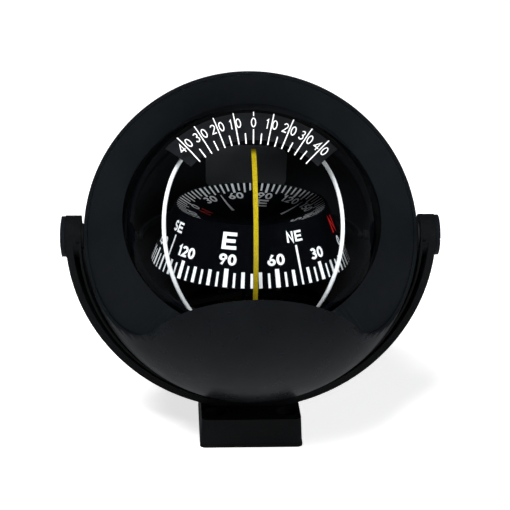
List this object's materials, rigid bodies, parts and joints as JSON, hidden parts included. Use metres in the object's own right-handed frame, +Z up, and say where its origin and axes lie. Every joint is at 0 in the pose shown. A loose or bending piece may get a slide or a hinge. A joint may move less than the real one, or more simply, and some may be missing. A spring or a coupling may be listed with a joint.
{
  "type": "binnacle compass",
  "caption": "Liquid-filled sailing compass: a hooded ball housing with a domed window over a gimballed card, tilting in a yoke bracket on a small foot.",
  "frame": {"origin": "centre of the foot's base face", "axes": "+X along the trunnions to the right as the compass is read, -Y towards the reader, +Z up"},
  "size_m": [0.152, 0.1397, 0.1434],
  "materials": {
    "housing_black": "satin moulding",
    "hood_black": "fine matt moulding",
    "bracket_black": "powder coat",
    "knob_black": "satin moulding",
    "seal_rubber": "matt",
    "inner_black": "matt",
    "card_black": "matt, printed in white",
    "grey_plastic": "satin",
    "clear_dome": "clear, polished",
    "washer_nylon": "satin",
    "steel": "machined",
    "brass": "turned",
    "magnet_alloy": "sintered",
    "circuit_board": "satin",
    "lamp_red": "translucent",
    "jewel": "polished",
    "lubber_yellow": "fluorescent paint",
    "lubber_white": "white moulding"
  },
  "bodies": {
    "bracket": {"bracket_yoke": "bracket_black", "bracket_foot": "bracket_black", "foot_pad": "seal_rubber", "strap_screws": "steel", "grub_screws": "steel", "friction_washers": "washer_nylon"},
    "knob_left": {"clamp_knob_left": "knob_black"},
    "knob_right": {"clamp_knob_right": "knob_black"},
    "housing": {"bowl": "housing_black", "hood": "hood_black", "mouth_seal": "seal_rubber", "dome": "clear_dome", "capsule": "inner_black", "capsule_seal": "seal_rubber", "mask_ring": "inner_black", "clamp_ring": "inner_black", "capsule_screws": "steel", "housing_screws": "steel", "trunnion_inserts": "brass", "scale_backing": "grey_plastic", "lamp_window": "grey_plastic", "lamp_plate": "circuit_board", "lamps": "lamp_red", "gimbal_bearings": "jewel", "expansion_diaphragm": "seal_rubber", "diaphragm_cap": "inner_black", "fill_plug": "steel", "cable_gland": "housing_black", "gland_nut": "housing_black", "gland_lock_nut": "steel"},
    "pitch_ring": {"pitch_ring": "inner_black"},
    "lubber_frame": {"lubber_frame": "inner_black", "front_lubber": "lubber_yellow", "side_lubbers": "lubber_white", "counterweight": "brass", "pivot_stem": "steel"},
    "card": {"card_skirt": "card_black", "card_dial": "card_black", "card_float": "inner_black", "card_magnets": "magnet_alloy", "jewel_cup": "jewel"}
  },
  "joints": [
    {"name": "tilt", "type": "hinge", "parent": "bracket", "child": "housing", "pos_m": [0, 0, 0.082], "axis": [-1, 0, 0], "range_deg": [-40, 50]},
    {"name": "knob_left_turn", "type": "hinge", "parent": "bracket", "child": "knob_left", "pos_m": [-0.0735, 0, 0.082], "axis": [-1, 0, 0], "range_deg": [0, 270]},
    {"name": "knob_right_turn", "type": "hinge", "parent": "bracket", "child": "knob_right", "pos_m": [0.0735, 0, 0.082], "axis": [1, 0, 0], "range_deg": [0, 270]},
    {"name": "pitch", "type": "hinge", "parent": "housing", "child": "pitch_ring", "pos_m": [0, 0, 0.082], "axis": [1, 0, 0], "range_deg": [-70, 70]},
    {"name": "roll", "type": "hinge", "parent": "pitch_ring", "child": "lubber_frame", "pos_m": [0, 0, 0.082], "axis": [0, 1, 0], "range_deg": [-45, 45]},
    {"name": "card_turn", "type": "hinge", "parent": "lubber_frame", "child": "card", "pos_m": [0, 0, 0.082], "axis": [0, 0, 1], "continuous": true}
  ]
}
